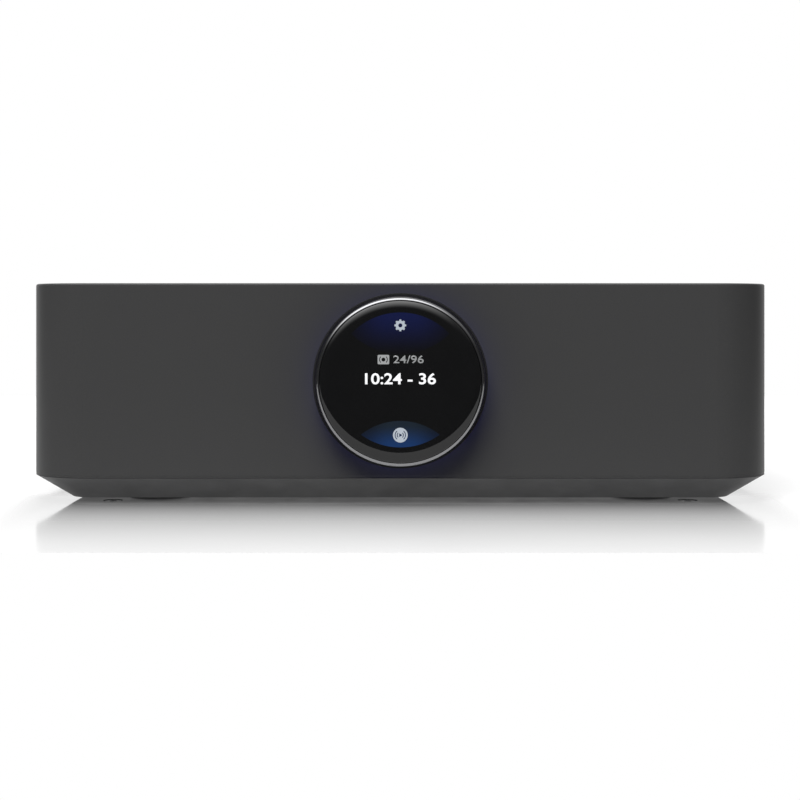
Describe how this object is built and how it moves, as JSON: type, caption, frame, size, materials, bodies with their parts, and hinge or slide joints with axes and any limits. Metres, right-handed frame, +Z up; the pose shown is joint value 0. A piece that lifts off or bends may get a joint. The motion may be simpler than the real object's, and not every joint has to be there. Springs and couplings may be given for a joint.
{
  "type": "streaming amplifier",
  "caption": "Low dark-grey box amplifier on a tapered base, with a round glass display inside an endless volume ring and speaker posts behind.",
  "frame": {"origin": "under the middle of the case, on the surface that the feet stand on", "axes": "+Z up, the display faces -Y and the sockets face +Y, +X to the right seen from the front"},
  "size_m": [0.21, 0.2284, 0.062],
  "materials": {
    "case_aluminium": "matt dark grey, fine texture",
    "base_plastic": "matt dark grey",
    "rubber_black": "matt",
    "screw_black": "satin black",
    "panel_black": "matt moulded",
    "ring_polished": "dark polished",
    "magnet_grey": "bonded magnet, matt",
    "bearing_white": "smooth natural",
    "hub_metal": "machined",
    "carrier_black": "matt",
    "display_glass": "black backed, polished",
    "display_screen": "dark screen",
    "board_green": "solder mask",
    "led_white": "clear lens",
    "light_guide": "milky",
    "ribbon": "film",
    "socket_black": "matt",
    "nickel": "nickel plated",
    "gold": "gold plated",
    "tinned_steel": "satin",
    "socket_white": "smooth",
    "socket_red": "smooth",
    "button_black": "satin",
    "sink_aluminium": "extruded",
    "chip_black": "moulded",
    "pad_grey": "soft",
    "ferrite": "ferrite",
    "winding": "taped winding",
    "capacitor": "sleeved can",
    "copper": "enamelled",
    "fuse_glass": "clear",
    "wire": "insulated"
  },
  "bodies": {
    "chassis": {"top_case": "case_aluminium", "base_cover": "base_plastic", "feet": "rubber_black", "base_screws": "screw_black", "rear_panel": "panel_black", "panel_screws": "screw_black", "display_hub": "hub_metal", "display_carrier": "carrier_black", "display_panel": "display_screen", "display_glass": "display_glass", "display_board": "board_green", "hub_screws": "tinned_steel", "flange_screws": "tinned_steel", "slide_bearing": "bearing_white", "led_board": "board_green", "halo_leds": "led_white", "halo_light_guide": "light_guide", "display_cable": "ribbon", "post_bases": "socket_black", "post_studs": "gold", "post_nuts": "gold", "rca_shells": "gold", "rca_insulators": "socket_white", "rca_contacts": "gold", "hdmi_shell": "nickel", "hdmi_tongue": "socket_black", "ethernet_jack": "socket_black", "ethernet_contacts": "gold", "inlet_housing": "socket_black", "inlet_pins": "nickel", "setup_switch": "socket_black", "main_board": "board_green", "power_board": "board_green", "board_screws": "tinned_steel", "heat_sink": "sink_aluminium", "heat_sink_screws": "tinned_steel", "amplifier_chips": "chip_black", "thermal_pads": "pad_grey", "output_inductors": "ferrite", "processor_shield": "tinned_steel", "wifi_module": "tinned_steel", "antennas": "copper", "transformer_core": "ferrite", "transformer_winding": "winding", "bulk_capacitors": "capacitor", "mains_choke": "copper", "fuse": "fuse_glass", "power_harness": "wire"},
    "volume_dial": {"volume_ring": "ring_polished", "encoder_magnet_ring": "magnet_grey"},
    "setup_key": {"setup_button": "button_black"},
    "clamp_1": {"clamp_washer_1": "gold"},
    "knob_1": {"post_knob_1": "socket_black"},
    "clamp_2": {"clamp_washer_2": "gold"},
    "knob_2": {"post_knob_2": "socket_red"},
    "clamp_3": {"clamp_washer_3": "gold"},
    "knob_3": {"post_knob_3": "socket_black"},
    "clamp_4": {"clamp_washer_4": "gold"},
    "knob_4": {"post_knob_4": "socket_red"}
  },
  "joints": [
    {"name": "volume_turn", "type": "hinge", "parent": "chassis", "child": "volume_dial", "pos_m": [0, -0.105, 0.03475], "axis": [0, 1, 0], "continuous": true},
    {"name": "setup_press", "type": "slide", "parent": "chassis", "child": "setup_key", "axis": [0, -1, 0], "range_m": [0, 0.0004], "stiffness_N_per_m": 1500},
    {"name": "clamp_1_slide", "type": "slide", "parent": "chassis", "child": "clamp_1", "axis": [0, 1, 0], "range_m": [0, 0.004]},
    {"name": "knob_1_turn", "type": "hinge", "parent": "clamp_1", "child": "knob_1", "pos_m": [-0.07, 0.1, 0.0245], "axis": [0, 1, 0], "range_deg": [0, 1440]},
    {"name": "clamp_2_slide", "type": "slide", "parent": "chassis", "child": "clamp_2", "axis": [0, 1, 0], "range_m": [0, 0.004]},
    {"name": "knob_2_turn", "type": "hinge", "parent": "clamp_2", "child": "knob_2", "pos_m": [-0.07, 0.1, 0.0435], "axis": [0, 1, 0], "range_deg": [0, 1440]},
    {"name": "clamp_3_slide", "type": "slide", "parent": "chassis", "child": "clamp_3", "axis": [0, 1, 0], "range_m": [0, 0.004]},
    {"name": "knob_3_turn", "type": "hinge", "parent": "clamp_3", "child": "knob_3", "pos_m": [-0.05, 0.1, 0.0245], "axis": [0, 1, 0], "range_deg": [0, 1440]},
    {"name": "clamp_4_slide", "type": "slide", "parent": "chassis", "child": "clamp_4", "axis": [0, 1, 0], "range_m": [0, 0.004]},
    {"name": "knob_4_turn", "type": "hinge", "parent": "clamp_4", "child": "knob_4", "pos_m": [-0.05, 0.1, 0.0435], "axis": [0, 1, 0], "range_deg": [0, 1440]}
  ],
  "couplings": [
    {"joint": "knob_1_turn", "follows": "clamp_1_slide", "rad_per_m": 6283.2},
    {"joint": "knob_2_turn", "follows": "clamp_2_slide", "rad_per_m": 6283.2},
    {"joint": "knob_3_turn", "follows": "clamp_3_slide", "rad_per_m": 6283.2},
    {"joint": "knob_4_turn", "follows": "clamp_4_slide", "rad_per_m": 6283.2}
  ]
}
